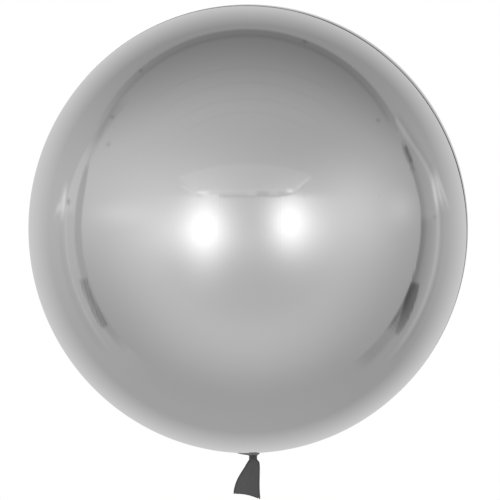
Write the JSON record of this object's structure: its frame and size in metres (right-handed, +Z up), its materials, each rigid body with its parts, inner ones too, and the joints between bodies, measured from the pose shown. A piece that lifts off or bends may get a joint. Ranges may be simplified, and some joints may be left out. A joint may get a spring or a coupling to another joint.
{
  "type": "bubble balloon",
  "caption": "Chrome-finished globe balloon of two welded film halves, gathered at the neck into a short flat tail with a valve sleeve between its films.",
  "frame": {"origin": "centre of the inflated globe", "axes": "+Z up from the neck through the globe, -Y towards the front film half, +X to the right as the picture shows it; the two halves are welded in the XZ plane"},
  "size_m": [0.4506, 0.4506, 0.5093],
  "materials": {
    "chrome_film": "mirror-bright metallised plastic film, very slightly hazy",
    "welded_film": "heat-sealed metallised film, dull along the seal",
    "tail_film": "dark grey satin film with soft creases",
    "tail_weld_film": "dark grey heat-sealed film edge",
    "valve_sleeve_film": "thin translucent plastic sleeve"
  },
  "bodies": {
    "root": {"envelope_front": "chrome_film", "envelope_back": "chrome_film", "seam_weld": "welded_film", "neck_collar_front": "chrome_film", "neck_collar_back": "chrome_film", "tail_front": "tail_film", "tail_back": "tail_film", "tail_weld_left": "tail_weld_film", "tail_weld_right": "tail_weld_film", "valve_film": "valve_sleeve_film"}
  },
  "joints": []
}
